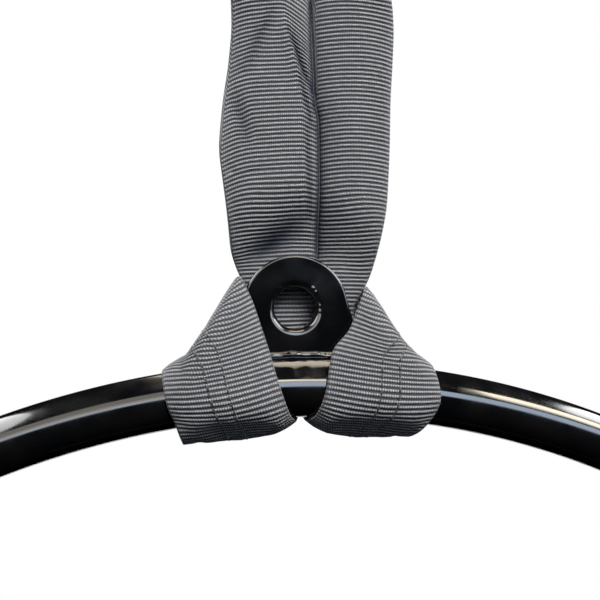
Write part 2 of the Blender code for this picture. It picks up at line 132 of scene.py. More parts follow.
class Shader:  # a material or group with short ways to add and join nodes
    def __init__(self, tree):
        self.tree = tree

    def join(self, value, socket):  # the value is a number, a colour or another node's output
        if isinstance(value, bpy.types.NodeSocket):
            self.tree.links.new(value, socket)
        elif isinstance(value, tuple):
            socket.default_value = (*value, 1)
        else:
            socket.default_value = value

    def add(self, kind, inputs=None, **settings):
        node = self.tree.nodes.new(kind)
        for name, value in settings.items():
            setattr(node, name, value)
        for name, value in (inputs or {}).items():
            self.join(value, node.inputs[name])
        return node

    def math(self, operation, *values):
        node = self.add("ShaderNodeMath", operation=operation)
        for value, socket in zip(values, node.inputs):
            self.join(value, socket)
        return node.outputs[0]

    def between(self, share, low, high):
        return self.math("MULTIPLY_ADD", share, high - low, low)

    def ramp(self, value, low, high):  # 0 to 1, smooth, between low and high
        inputs = {"Value": value, "From Min": low, "From Max": high}
        return self.add("ShaderNodeMapRange", inputs, interpolation_type="SMOOTHSTEP").outputs["Result"]

    def blend(self, share, first, second):  # between two colours
        inputs = {"Factor": share, "A": first, "B": second}
        return self.add("ShaderNodeMix", inputs, data_type="RGBA").outputs["Result"]

    def noise(self, place, scale, detail=2, roughness=0.5):
        inputs = {"Vector": place, "Scale": scale, "Detail": detail, "Roughness": roughness}
        return self.add("ShaderNodeTexNoise", inputs).outputs["Fac"]

    def bump(self, height, strength, distance):
        inputs = {"Height": height, "Strength": strength, "Distance": distance}
        return self.add("ShaderNodeBump", inputs).outputs["Normal"]

    def place(self):  # on the object, in metres
        return self.add("ShaderNodeTexCoord").outputs["Object"]

    def split(self, vector):
        return self.add("ShaderNodeSeparateXYZ", {"Vector": vector}).outputs

    def pair(self, x, y):
        return self.add("ShaderNodeCombineXYZ", {"X": x, "Y": y}).outputs["Vector"]


def newMaterial(name, look):  # look holds the constants of the shader's own sockets
    material = bpy.data.materials.new(name)
    material.use_nodes = True
    principled = material.node_tree.nodes["Principled BSDF"]
    for socket, value in look.items():
        principled.inputs[socket].default_value = value
    return material, Shader(material.node_tree), principled


def newGroup(name, inputs, outputs):  # all its sockets are numbers
    tree = bpy.data.node_groups.new(name, "ShaderNodeTree")
    for sockets, direction in ((inputs, "INPUT"), (outputs, "OUTPUT")):
        for socket in sockets:
            tree.interface.new_socket(socket, in_out=direction, socket_type="NodeSocketFloat")
    shader = Shader(tree)
    return shader, shader.add("NodeGroupInput").outputs, shader.add("NodeGroupOutput").inputs


# Hard surfaces: colours and roughness away from the wipe marks and on them, scales of the grain and of the
# marks, and strength and depth of the grain's bump

paint = {
    "look": {"IOR": 1.5, "Coat Weight": 0.3, "Coat Roughness": 0.03},
    "colours": ((0.0018, 0.002, 0.0024), (0.0035, 0.0035, 0.0038)),
    "roughness": (0.07, 0.16),
    "scales": (1400.0, 60.0),
    "bump": (0.4, 0.00001),
}
weldPaint = {**paint, "scales": (400.0, 60.0), "bump": (0.4, 0.00003)}
steel = {
    "look": {"Metallic": 1.0},
    "colours": ((0.42, 0.42, 0.43), (0.3, 0.29, 0.28)),
    "roughness": (0.3, 0.55),
    "scales": (900.0, 90.0),
    "bump": (0.3, 0.0002),
}


def makeGrainGroup():  # fine unevenness and faint wipe marks
    shader, given, result = newGroup("surface grain", ("Fine Scale", "Broad Scale"), ("Height", "Marks"))
    place = shader.place()
    shader.join(shader.noise(place, given["Fine Scale"]), result["Height"])
    broad = shader.noise(place, given["Broad Scale"], detail=4)
    shader.join(shader.ramp(broad, 0.35, 0.7), result["Marks"])
    return shader.tree


def makeHardSurface(name, finish, grain):
    material, shader, principled = newMaterial(name, finish["look"])
    scales = dict(zip(("Fine Scale", "Broad Scale"), finish["scales"]))
    uneven = shader.add("ShaderNodeGroup", scales, node_tree=grain).outputs
    marks = uneven["Marks"]
    shader.join(shader.blend(marks, *finish["colours"]), principled.inputs["Base Color"])
    shader.join(shader.between(marks, *finish["roughness"]), principled.inputs["Roughness"])
    shader.join(shader.bump(uneven["Height"], *finish["bump"]), principled.inputs["Normal"])
    return material


# Webbing, thread and yarn

weave = {
    "ribPitch": 2.0,  # mm along the strap
    "endPitch": 1.1,  # mm between warp ends across the strap
    "wander": 0.3,  # how far the ends stray, as a share of their pitch
    "loop": (0.23, 1.18),  # height of a rib between two loops, and on a loop
    "fibre": (0.78, 1.08),  # darkest and lightest loop
    "patch": (0.85, 1.15),  # darkest and lightest patch
    "roughness": (0.8, 0.6),  # in the troughs and on the crests
    # crest and trough colours: the troughs are darker partly from the yarn's own tone and partly as painted
    # shade between the ribs
    "crest": (0.286, 0.288, 0.295),
    "trough": (0.042, 0.044, 0.049),
    # the colour that painted shade darkens the webbing towards, in creases and along the split between the
    # legs
    "painted_shade": (0.009, 0.012, 0.019),
    "threadDepth": 0.00012,
}
threadColours = ((0.006, 0.006, 0.007), (0.02, 0.02, 0.022))
yarnColours = ((0.5, 0.48, 0.42), (0.8, 0.78, 0.73))


def makeWeaveGroup():  # ribs across the strap, each a row of small loops of warp
    shader, given, result = newGroup("ribbed weave", ("Rib Pitch", "End Pitch"), ("Crest", "Fibre"))
    uv = shader.add("ShaderNodeUVMap", uv_map="strap").outputs["UV"]
    parts = shader.split(uv)
    rib = shader.math("DIVIDE", parts["Y"], given["Rib Pitch"])
    end = shader.math("DIVIDE", parts["X"], given["End Pitch"])
    end = shader.math("MULTIPLY_ADD", shader.noise(uv, 700, 3, 0.6), weave["wander"], end)
    ribWave = shader.math("COSINE", shader.math("MULTIPLY", rib, math.tau))
    endWave = shader.math("COSINE", shader.math("MULTIPLY", end, math.tau))
    loops = shader.between(shader.math("MULTIPLY_ADD", endWave, 0.5, 0.5), *weave["loop"])
    shader.join(shader.math("MULTIPLY", shader.ramp(ribWave, -0.5, 0.5), loops), result["Crest"])
    cell = shader.pair(shader.math("ROUND", rib), shader.math("ROUND", end))
    each = shader.add("ShaderNodeTexWhiteNoise", {"Vector": cell}, noise_dimensions="2D")
    shader.join(each.outputs["Value"], result["Fibre"])
    return shader.tree


def makeWebbing(group):
    look = {"Sheen Weight": 0.12, "Sheen Roughness": 0.4, "Specular IOR Level": 0.08}
    material, shader, principled = newMaterial("charcoal webbing", look)
    pitches = {"Rib Pitch": weave["ribPitch"] * mm, "End Pitch": weave["endPitch"] * mm}
    woven = shader.add("ShaderNodeGroup", pitches, node_tree=group).outputs
    crest = woven["Crest"]
    lit = crest
    for share, spread in ((woven["Fibre"], "fibre"), (shader.noise(shader.place(), 45, 3), "patch")):
        lit = shader.math("MULTIPLY", lit, shader.between(share, *weave[spread]))
    # the colour follows the ribs and their loops from trough to crest: partly the weave's own tone, partly
    # painted shade in the troughs and between the loops
    cloth = shader.blend(lit, weave["trough"], weave["crest"])
    # this attribute holds painted shade: it darkens the colour in the creases, along the split between the
    # legs and on the right leg beside it
    paintedShade = shader.add("ShaderNodeAttribute", attribute_name="painted_shade").outputs["Fac"]
    shader.join(shader.blend(paintedShade, cloth, weave["painted_shade"]), principled.inputs["Base Color"])
    shader.join(shader.between(crest, *weave["roughness"]), principled.inputs["Roughness"])
    shader.join(shader.bump(crest, 1.0, weave["threadDepth"]), principled.inputs["Normal"])
    return material


def makeThread():
    material, shader, principled = newMaterial("sewing thread", {"Roughness": 0.6, "Sheen Weight": 0.2})
    inputs = {"Vector": shader.place(), "Scale": 900}
    ply = shader.add("ShaderNodeTexWave", inputs, bands_direction="DIAGONAL").outputs["Fac"]
    shader.join(shader.blend(ply, *threadColours), principled.inputs["Base Color"])
    return material


def makeYarn():
    material, shader, principled = newMaterial("core yarn", {"Roughness": 0.8})
    strands = shader.noise(shader.place(), 600)
    shader.join(shader.blend(strands, *yarnColours), principled.inputs["Base Color"])
    shader.join(shader.bump(strands, 0.6, 0.0004), principled.inputs["Normal"])
    return material


print("Making the materials")
grainGroup = makeGrainGroup()
materials = {
    "paint": makeHardSurface("gloss black paint", paint, grainGroup),
    "weldPaint": makeHardSurface("gloss black paint on the weld", weldPaint, grainGroup),
    "steel": makeHardSurface("bare steel", steel, grainGroup),
    "webbing": makeWebbing(makeWeaveGroup()),
    "thread": makeThread(),
    "yarn": makeYarn(),
}


# Mesh helpers

def meshOf(name, shape, material):
    mesh = bpy.data.meshes.new(name)
    shape.to_mesh(mesh)
    shape.free()
    mesh.materials.append(material)
    return mesh


def finishPiece(name, shape, material, stands, body=None, sharp=40):
    lower = Matrix.Scale(mm, 4) @ Matrix.Translation((0, 0, -hangDrop))  # to metres in the frame
    bmesh.ops.transform(shape, matrix=lower, verts=shape.verts)
    bmesh.ops.recalc_face_normals(shape, faces=shape.faces)
    mesh = meshOf(name, shape, materials[material])
    mesh.shade_smooth()
    mesh.set_sharp_from_angle(angle=math.radians(sharp))
    piece = linked(name, mesh)
    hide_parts(*stands)
    if body:
        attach(piece, body)
    return piece


def placeGrid(shape, places):  # a grid of vertices moved to places[row][column]
    rows, columns = places.shape[:2]
    made = bmesh.ops.create_grid(shape, x_segments=columns - 1, y_segments=rows - 1, size=1)["verts"]
    for vert in made:
        column = round((vert.co.x + 1) / 2 * (columns - 1))
        row = round((vert.co.y + 1) / 2 * (rows - 1))
        vert.co = places[row, column]
    return made


def closeUp(shape):  # welds seams and fills what is still open
    bmesh.ops.remove_doubles(shape, verts=shape.verts, dist=0.002)
    rims = [edge for edge in shape.edges if edge.is_boundary]
    bmesh.ops.holes_fill(shape, edges=rims, sides=0)


def turn(shape, angle, axis, centre=(0, 0, 0)):
    bmesh.ops.rotate(shape, verts=shape.verts, cent=centre, matrix=Matrix.Rotation(angle, 3, axis))


def roundEdges(shape, edges, offset, segments):
    bmesh.ops.bevel(
        shape, geom=edges, offset=offset, segments=segments, profile=0.5, affect="EDGES", material=-1
    )


# Ring

ring = {"sides": 64, "steps": 600, "parts": 12, "wall": 2, "weldAngle": -5.6, "weldLength": 3.6}


def makeRingTube():
    shape = bmesh.new()
    for radius in (tubeRadius, tubeRadius - ring["wall"]):
        bmesh.ops.create_circle(shape, segments=ring["sides"], radius=radius)
    turn(shape, math.pi / 2, "Y")
    gap = ring["weldLength"] / ringRadius
    middle = (0, 0, -ringRadius)
    turn(shape, math.radians(ring["weldAngle"]) + gap / 2, "Y", middle)
    whole, parts = math.tau - gap, ring["parts"]
    spun = {"cent": middle, "axis": (0, 1, 0)}
    circles = shape.verts[:] + shape.edges[:]
    bmesh.ops.spin(shape, geom=circles, angle=whole / parts, steps=ring["steps"] // parts, **spun)
    part = shape.verts[:] + shape.edges[:] + shape.faces[:]
    rest = whole * (parts - 1) / parts
    bmesh.ops.spin(shape, geom=part, angle=rest, steps=parts - 1, use_duplicate=True, **spun)
    bmesh.ops.remove_doubles(shape, verts=shape.verts, dist=0.001)
    weldX = ringRadius * math.sin(math.radians(ring["weldAngle"]))
    openEdges = [edge for edge in shape.edges if edge.is_boundary]
    for sense in (1, -1):  # the annulus at each end of the tube
        rims = [edge for edge in openEdges if (edge.verts[0].co.x - weldX) * sense > 0]
        bmesh.ops.bridge_loops(shape, edges=rims)
    finishPiece("ring_tube_finish", shape, "paint", ["ring_tube"], "hoop")


# Tab

tab = {
    "thickness": 10,
    "headRadius": 23.8,
    "eyeHeight": 36.7,
    "eyeRadius": 9.5,
    "footWidth": 62,
    "footHeight": 11.6,
    "eyeRounding": 3.2,
    "edgeRounding": 1.0,
    "eyeSegments": 12,
    "edgeSegments": 4,
    "points": 144,
    "flatInset": 0.15,  # a narrow band that keeps the flat faces' shading flat
    # drops of paint on the eye's front edge: direction and distance from its centre, half width and height
    "drops": (
        (48, 11.7, 0.5, 0.75),
        (38, 11.5, 0.45, 0.65),
        (129, 11.1, 0.45, 0.6),
        (4, 10.8, 0.4, 0.6),
        (-9, 10.8, 0.4, 0.6),
    ),
}


def tabOutline(angle):  # the tab's edge, in a direction from the eye's centre
    half = tab["footWidth"] / 2
    below = tab["footHeight"] - tab["eyeHeight"]
    corner = math.atan2(below, half)
    touch = corner + math.acos(tab["headRadius"] / math.hypot(half, below))
    side = math.copysign(1, math.cos(angle))
    up = angle if side > 0 else math.pi - angle
    up = math.atan2(math.sin(up), math.cos(up))
    if up >= touch:
        return tab["headRadius"] * math.cos(angle), tab["headRadius"] * math.sin(angle)
    if up <= corner:
        return below / math.tan(angle), below
    reach = tab["headRadius"] / math.cos(up - touch)  # on the straight flank
    return side * reach * math.cos(up), reach * math.sin(up)


def onEye(vert):
    return math.hypot(vert.co.x, vert.co.z - tab["eyeHeight"]) < tab["eyeRadius"] + 0.1


def sharpEdges(shape, ofEye):  # those of the eye, or those of the outline
    sharp = [edge for edge in shape.edges if edge.calc_face_angle(0) > 1.2]
    return [edge for edge in sharp if all(onEye(vert) == ofEye for vert in edge.verts)]


def addDrops(shape):
    for degrees, distance, width, height in tab["drops"]:
        angle = math.radians(degrees)
        inwards = tab["eyeRadius"] + tab["eyeRounding"] - distance
        sunk = tab["eyeRounding"] - math.sqrt(tab["eyeRounding"] ** 2 - inwards**2)
        front = sunk - tab["thickness"] / 2
        spot = Vector((distance * math.cos(angle), front, tab["eyeHeight"] + distance * math.sin(angle)))
        for vert in shape.verts:
            vert.co.y -= height * math.exp(-(((vert.co - spot).length / width) ** 2))


def makeTab():
    shape = bmesh.new()
    half = tab["thickness"] / 2
    edge = bmesh.ops.create_circle(shape, segments=tab["points"], radius=tab["headRadius"])["verts"]
    bmesh.ops.create_circle(shape, segments=tab["points"], radius=tab["eyeRadius"])
    for vert in edge:
        x, z = tabOutline(math.atan2(vert.co.y, vert.co.x))
        vert.co = (x, z, 0)
    bmesh.ops.bridge_loops(shape, edges=shape.edges[:])
    bmesh.ops.translate(shape, vec=(0, tab["eyeHeight"], half), verts=shape.verts)
    made = bmesh.ops.extrude_face_region(shape, geom=shape.faces[:])["geom"]
    back = [item for item in made if isinstance(item, bmesh.types.BMVert)]
    bmesh.ops.translate(shape, vec=(0, 0, -2 * half), verts=back)
    turn(shape, math.pi / 2, "X")
    bmesh.ops.recalc_face_normals(shape, faces=shape.faces)
    roundEdges(shape, sharpEdges(shape, True), tab["eyeRounding"], tab["eyeSegments"])
    roundEdges(shape, sharpEdges(shape, False), tab["edgeRounding"], tab["edgeSegments"])
    flats = [face for face in shape.faces if abs(face.normal.y) > 0.999]
    bmesh.ops.inset_region(shape, faces=flats, thickness=tab["flatInset"], use_even_offset=True)
    addDrops(shape)
    for vert in shape.verts:  # the foot follows the bar's curve
        if vert.co.z < tab["footHeight"] + 3:
            vert.co.z -= float(barDrop(vert.co.x))
    finishPiece("suspension_tab_finish", shape, "paint", ["suspension_tab"], "hoop", 50)


# Welds at the tab's foot

weld = {
    "gap": 0.25,
    "halfGap": 0.15,  # from the tab's middle plane to where each pass ends
    "steps": 190,
    "cornerSteps": 8,
    # distances out from the tab and rises above the bar: a thin lap on the tab, then the bead
    "face": (
        (0.25, 5.25), (0.9, 5.2), (1.3, 5.05), (1.5, 4.7), (1.65, 4.2), (1.7, 3.9), (1.5, 3.6),
        (1.0, 3.3), (0.6, 2.9), (0.6, 2.55), (0.8, 2.38), (1.1, 2.33), (1.5, 2.25), (2.2, 2.08),
        (3.1, 1.78), (3.9, 1.45), (4.4, 1.12), (4.8, 0.82), (5.2, 0.54), (5.6, 0.31), (6.0, 0.14),
        (6.4, 0.06), (6.8, 0.03),
    ),
    "lapRise": (3.6, 4.6),  # the lap starts and is whole at these rises
    "bead": (0.6, 6.2),  # distance out to where the bead starts, and its width
    "lumps": (0.08, 0.36),  # how much the lap and the bead vary
    "blobs": ((-1.8, 3.4, 0.95), (8.2, 2.2, 0.45)),  # on the front lap: place, half length and height
    "underside": (3.762, 1.881, 0.0),  # distances out, on the way back along the bar
}


def weldPath(side):  # places round half of the foot: x, y and the way out from the tab
    half, depth = tab["footWidth"] / 2, tab["thickness"] / 2
    ends = [side * weld["halfGap"], side * depth * 0.6, side * depth]
    corner = [90 * i / weld["cornerSteps"] for i in range(1, weld["cornerSteps"])]
    path = [(-half, y, 180) for y in ends]
    path += [(-half, side * depth, 180 - side * degrees) for degrees in corner]
    path += [(x, side * depth, 90 * side) for x in np.linspace(-half, half, weld["steps"])]
    path += [(half, side * depth, side * (90 - degrees)) for degrees in corner]
    path += [(half, y, 0) for y in reversed(ends)]
    return path


def weldPlace(x, y, degrees, reach, rise):  # on the bead, from a place at the tab's foot
    angle = math.radians(degrees)
    x, y = x + math.cos(angle) * reach, y + math.sin(angle) * reach
    base = math.sqrt(max((tubeRadius + weld["gap"]) ** 2 - y**2, 0)) - float(barDrop(x))
    return x, y, base + rise


def weldSection(face, x, y, degrees, side):  # from the tab, over the bead to the bar, and back underneath
    ripple = 0.5 * math.sin(x * 0.93 + 2 * side) + 0.5 * math.sin(x * 1.7 + 1.3 * math.sin(x * 0.41 - side))
    swell = 0.6 * math.sin(x * 0.44 + 1.2 * math.sin(x * 0.19 + side)) + 0.2 * math.sin(x * 0.95 + side)
    blobs = [height * math.exp(-(((x - place) / half) ** 2)) for place, half, height in weld["blobs"]]
    blob = sum(blobs) * (side < 0)
    lapLump, beadLump = weld["lumps"]
    start, width = weld["bead"]
    places = []
    for reach, rise in face:
        lap = float(smooth(rise, *weld["lapRise"]))
        bead = (1 - lap) * math.sin(math.pi * min(max(reach - start, 0) / width, 1))
        reach += lap * (reach - weld["gap"]) * (lapLump * ripple + blob) + bead * beadLump * 0.5 * swell
        rise += lap * (lapLump * ripple + blob * 0.8) + bead * beadLump * (0.85 * swell + 0.15 * ripple)
        places.append(weldPlace(x, y, degrees, reach, rise))
    places += [weldPlace(x, y, degrees, weld["gap"] + reach, 0) for reach in weld["underside"]]
    return places + places[:1]


def makeWelds():
    face = onCurve(np.array(weld["face"]), (0, 0.33, 0.67))
    for name, side in (("tab_weld_front", -1), ("tab_weld_rear", 1)):
        shape = bmesh.new()
        placeGrid(shape, np.array([weldSection(face, *place, side) for place in weldPath(side)]))
        closeUp(shape)
        finishPiece(name + "_finish", shape, "weldPaint", [name], "hoop", sharp=70)


# Sling: its middle surface is a run of rows across the strap, from the inner edge to the outer

strap = {
    "columns": 25,
    "width": 50.0,  # when flat
    "edgeThickness": 1.8,
    "barThickness": 9.0,
    "fullness": 2.2,  # higher is flatter across the middle
    "barGap": 0.4,
    "leastGap": 0.35,
    "ribHeight": 0.3,
    "samplesPerRib": 6,
    "seams": (0.43, 0.59),  # shares of the width
    "seamSink": 0.25,
    "seamWidth": 0.012,
    "swell": 0.35,  # between the seams
    "swellWidth": 0.06,
}
evenShares = np.linspace(0, 1, strap["columns"])
easedShares = (1 - np.cos(np.linspace(0, math.pi, strap["columns"]))) / 2
across = easedShares * 0.5 + evenShares * 0.5  # shares of the width, closer together near both edges


def padding(middle, innerEdge=strap["edgeThickness"]):  # thickness across the strap, thin at the edges
    crown = 1 - np.abs(2 * across - 1) ** strap["fullness"]
    edge = mix(innerEdge, strap["edgeThickness"], across)
    return edge + (middle - edge) * crown


def straightRow(inner, outer):
    return mix(np.array(inner, float), np.array(outer, float), across[:, None])


def barRow(innerX, outerX, degrees, thick, lift):  # on the bar, degrees above its rear
    x = mix(innerX, outerX, across)
    angle = math.radians(degrees)
    reach = tubeRadius + strap["barGap"] + thick / 2 + lift * smooth(across, 0.55, 1)
    return np.stack([x, reach * math.cos(angle), reach * math.sin(angle) - barDrop(x)], axis=1)


# One leg and its wrap, in mm from the tab's middle and above the bar. "edge" and "inner" are the leg's
# edges at the heights here, "spread" has heights with x of both edges behind the tab, and "bar" has both
# edges at the degrees here. "front" is the wrap's inner edge, from which its ribs fall by "slope" degrees
# and run for "width". It folds back where it meets "rim", and "lean" spreads that fold. "lift" keeps its
# outer edge off the bar, and "roll" is how thick the leg's inner edge is.
edgeHeights = (38, 45, 51, 62, 84, 110, 133, 147, 165)
innerHeights = (30, 45, 62, 124, 131, 165)
barDegrees = (25, 0, -25, -50, -75, -100, -125, -150)
leftSide = {
    "sign": -1,
    "lift": 1.8,
    "lean": 0.05,
    "roll": 6.0,
    "edge": (19.5, 20.6, 23.2, 27.6, 30.0, 33.2, 30.8, 28.4, 26.6),
    "inner": (9.0, 10.0, 11.6, 11.9, 10.1, 9.1),
    "spread": ((30, 9.0, -23.0), (22, 6.0, -33.0), (14, -2.5, -45.0)),
    "bar": ((0, 50), (-1, 51), (-1, 50), (-1, 49.5), (-0.5, 50), (1, 51), (4, 52), (6, 54)),
    "front": ((7.6, -3.0), (10.3, 5.5), (13.2, 16.7), (16.5, 27.5), (20.0, 39.2), (23.4, 47.1)),
    "slope": (8.0, 9.0, 11.0, 13.5, 17.0, 21.0),
    "width": (48.0, 48.2, 47.0, 46.0, 45.0, 44.0),
    "rim": (
        (19.5, 60), (25.3, 51.2), (28.1, 46.3), (38.2, 29.3), (45.0, 20.6), (50.2, 13.8), (54.9, 9.7),
        (58.0, 7.8), (70, 7),
    ),
}
rightSide = {
    "sign": 1,
    "lift": 0.9,
    "lean": 0.26,
    "roll": 1.8,
    "edge": (29.0, 33.0, 36.2, 39.0, 43.2, 44.9, 45.7, 46.8, 47.9),
    "inner": (9.5, 10.4, 11.9, 12.2, 10.4, 9.4),
    "spread": ((30, 9.0, 29.0), (22, 8.0, 37.0), (14, 7.0, 47.0)),
    "bar": ((6, 53), (5, 54), (4, 53), (4, 51.5), (4.5, 50.5), (6, 51.5), (8.5, 56), (10.4, 60.5)),
    "front": ((12.0, -2.5), (13.2, 4.2), (14.8, 13.0), (16.6, 19.0), (21.6, 23.0), (24.4, 27), (29.0, 38.5)),
    "slope": (5.5, 6.5, 8.0, 9.5, 12.0, 14.0, 18.0),
    "width": (51.0, 50.0, 48.0, 45.0, 41.0, 40.0, 38.0),
    "rim": (
        (26, 55), (32.8, 45.6), (38.2, 35.8), (44.6, 25.2), (53.2, 17.4), (61.8, 11.6), (65.6, 8.2),
        (76, 6.5),
    ),
}

# The legs behind the tab, down to the bar's rear
behind = {
    "heights": (*range(100, 50, -6), 45, 38),
    "depth": 9.6,
    "bend": 35,
    "clear": 1.0,
    "fall": 0.012,
    "thickness": 8.0,
    "legThickness": 9.5,
    "barDepth": 15.5,
    "barHeights": (8, 36),
}

# The wraps in front, and their fold round the legs to the rear
fold = {
    "tipRadius": 3.5,
    "barRadius": 14.0,
    "step": 0.25,
    "spare": 130,  # how far the wrap is followed past its front
    "flat": 18.1,  # from the bar's centre to the flat below its front
    "flatAngle": 55,  # the degrees below its front that the flat faces
    "barReach": 19,
    "cornerThickness": 5.5,
    "cornerHeight": 50,
    "leaves": 0.2,  # how high on the bar the wrap leaves it, as a share of its radius
    "gap": 0.5,
    "tabGap": 0.8,
    "rearGap": 14.6,
    "rearLean": 8.4,
    "rearStop": 12,  # x at which the bridge between both wraps takes over
    "middle": 7.5,
}


def underBar(below):  # thickness left where the bar presses the strap flat, at degrees below its front
    facing = np.cos(np.radians(np.clip(below, 0, 100) - fold["flatAngle"]))
    return fold["flat"] / facing - tubeRadius - strap["barGap"]


def legRow(side, height):
    middle = mix(behind["thickness"], behind["legThickness"], float(smooth(height, 60, 90)))
    innerX = np.interp(height, innerHeights, side["inner"])
    outerX = side["sign"] * np.interp(height, edgeHeights, side["edge"])
    row = straightRow((innerX, 0, height), (outerX, 0, height))
    head = tab["eyeHeight"] + tab["headRadius"] + behind["clear"] - behind["fall"] * row[:, 0] ** 2
    row[:, 1] = behind["depth"] * (1 - smooth(height, head, head + behind["bend"]))
    return row, padding(middle, side["roll"])


def frontDepth(x, z, thick):  # the strap's depth in front: round the bar, then straight up to the corner
    centre = -barDrop(x)
    reach = tubeRadius + fold["gap"] + thick / 2
    leave = reach * fold["leaves"]
    top = -(tab["thickness"] / 2 + fold["tabGap"] + thick / 2)
    share = np.clip((z - centre - leave) / (fold["cornerHeight"] - centre - leave), 0, 1)
    straight = mix(-np.sqrt(reach**2 - leave**2), top, share)
    low = np.clip(z - centre, -reach + 0.01, reach - 0.01)
    return np.where(z - centre < leave, -np.sqrt(reach**2 - low**2), straight)


def foldedPlace(excess, radius, entry, rim, front, rear, lean):  # up to the rim, then back, then inwards
    radius = min(radius, (rear - front) / 2)
    quarter = radius * math.pi / 2
    back = rear - front - 2 * radius
    x, z = rim
    if excess < quarter:
        angle = excess / radius
        rise = math.sin(angle)
        return mix(entry[0], x, rise), front + radius * (1 - math.cos(angle)), mix(entry[1], z, rise)
    if excess < quarter + back:
        gone = excess - quarter
        return x + lean * gone, front + radius + gone, z
    x += lean * back
    if excess < 2 * quarter + back:
        angle = (excess - quarter - back) / radius
        return x - radius * (1 - math.cos(angle)), rear - radius + radius * math.sin(angle), z
    return x - radius - (excess - 2 * quarter - back), rear, z


def frontRows(side):  # the front panel, and its fold round the legs to the rear
    inner = np.array(side["front"], float)
    slope = np.radians(side["slope"])
    outer = inner + np.stack([np.cos(slope), -np.sin(slope)], axis=1) * np.array(side["width"])[:, None]
    lengths = running(inner)
    steps = np.arange(0, lengths[-1] + fold["spare"], fold["step"])
    travel = (inner[-1] - inner[-2]) / np.linalg.norm(inner[-1] - inner[-2])
    beyond = np.clip(steps - lengths[-1], 0, None)[:, None] * travel
    innerLine, outerLine = (readOff(steps, lengths, line) + beyond for line in (inner, outer))
    rimX, rimZ = np.array(side["rim"]).T
    thick = padding(fold["middle"])
    rows = np.empty((len(steps), len(across), 3))
    thicks = np.repeat(thick[None], len(steps), axis=0)
    for k, share in enumerate(across):
        bow = 1 - (1 - share) ** 2  # ribs droop towards the outer edge
        x = mix(innerLine[:, 0], outerLine[:, 0], share)
        z = mix(innerLine[:, 1], outerLine[:, 1], bow)
        below = np.degrees(np.arcsin(np.clip((-barDrop(x) - z) / fold["barReach"], 0, 1)))
        thicks[:, k] = np.minimum(thick[k], underBar(below))
        y = frontDepth(x, z, thicks[:, k])
        rows[:, k] = np.stack([side["sign"] * x, y, z], axis=1)
        above = z - (np.interp(x, rimX, rimZ) - thick[k] * 0.75)
        rim = int(np.argmax((above >= 0) & (z > -2)))  # the first step at the rim
        radius = mix(fold["tipRadius"], fold["barRadius"], share**1.5)
        first = max(rim - int(round(radius / fold["step"])), 0)
        rear = fold["rearGap"] + fold["rearLean"] * share**1.3 + thick[k] / 2
        lean = side["lean"] * (1 - share)
        entry, corner = (x[first], z[first]), (x[rim], z[rim])
        for i in range(first, len(steps)):
            place = foldedPlace(steps[i] - steps[first], radius, entry, corner, y[first], rear, lean)
            rows[i, k] = (side["sign"] * place[0], place[1], place[2])
    reach = rows[:, :, 0].mean(axis=1) * side["sign"]
    behindLegs = rows[:, :, 1].mean(axis=1) > 0
    count = int(np.argmax(behindLegs & (reach < fold["rearStop"]))) or len(steps)
    return rows[:count], thicks[:count]


def clearOfBar(rows, thick):  # nothing lies inside the bar
    centre = -barDrop(rows[..., 0])
    y, z = rows[..., 1], rows[..., 2] - centre
    distance = np.maximum(np.hypot(y, z), 0.001)
    push = np.maximum((tubeRadius + strap["leastGap"] + thick / 2) / distance, 1)
    rows[..., 1] = y * push
    rows[..., 2] = z * push + centre


def smoothRows(pairs, perSpan):  # more rows, on smooth curves through these pairs of row and thickness
    both = np.array([np.column_stack(pair) for pair in pairs])
    made = onCurve(both, [step / perSpan for step in range(perSpan)])
    return made[..., :3], made[..., 3]


def sideRows(side):  # one leg of the hitch, from the neck down, round the bar, and round to the rear
    made = [legRow(side, height) for height in behind["heights"]]
    for height, innerX, outerX in side["spread"]:
        depth = mix(behind["depth"], behind["barDepth"], float(1 - smooth(height, *behind["barHeights"])))
        row = straightRow((innerX, depth, height), (outerX, depth, height))
        made.append((row, padding(behind["thickness"])))
    for degrees, (innerX, outerX) in zip(barDegrees, side["bar"]):
        under = float(smooth(abs(degrees + 90), 75, 20))  # most right under the bar
        corner = fold["cornerThickness"] * under * smooth(across, 0.5, 0.9)
        thick = np.maximum(padding(strap["barThickness"]), corner)
        if degrees < -90:
            thick = np.minimum(thick, underBar(degrees + 180))
        row = barRow(side["sign"] * innerX, side["sign"] * outerX, degrees, thick, side["lift"] * under)
        made.append((row, thick))
    dense, denseThick = smoothRows(made, 8)
    front, frontThick = frontRows(side)
    return np.concatenate([dense, front]), np.concatenate([denseThick, frontThick])


def evenRows(rows, thick, spacing, whole=1):  # rows at even distances, their number a multiple of whole
    distance = running(rows)
    count = int(round(distance[-1] / spacing / whole)) * whole
    wanted = np.linspace(0, distance[-1], count + 1)
    both = np.concatenate([rows, thick[..., None]], axis=2).reshape(len(rows), -1)
    made = readOff(wanted, distance, both).reshape(len(wanted), len(across), 4)
    return made[..., :3], made[..., 3]


def softened(values, reach):  # a running average along the strap that leaves both ends in place
    weights = np.hanning(2 * reach + 3)[1:-1]
    weights /= weights.sum()
    flat = values.reshape(len(values), -1)
    before, after = flat[reach:0:-1], flat[-2 : -reach - 2 : -1]
    padded = np.concatenate([2 * flat[:1] - before, flat, 2 * flat[-1:] - after])
    made = np.stack([np.convolve(padded[:, k], weights, "valid") for k in range(flat.shape[1])], axis=1)
    return made.reshape(values.shape)


def outwardNormals(rows):
    normal = np.cross(np.gradient(rows, axis=0), np.gradient(rows, axis=1))
    return normal / np.maximum(np.linalg.norm(normal, axis=2, keepdims=True), 1e-9)
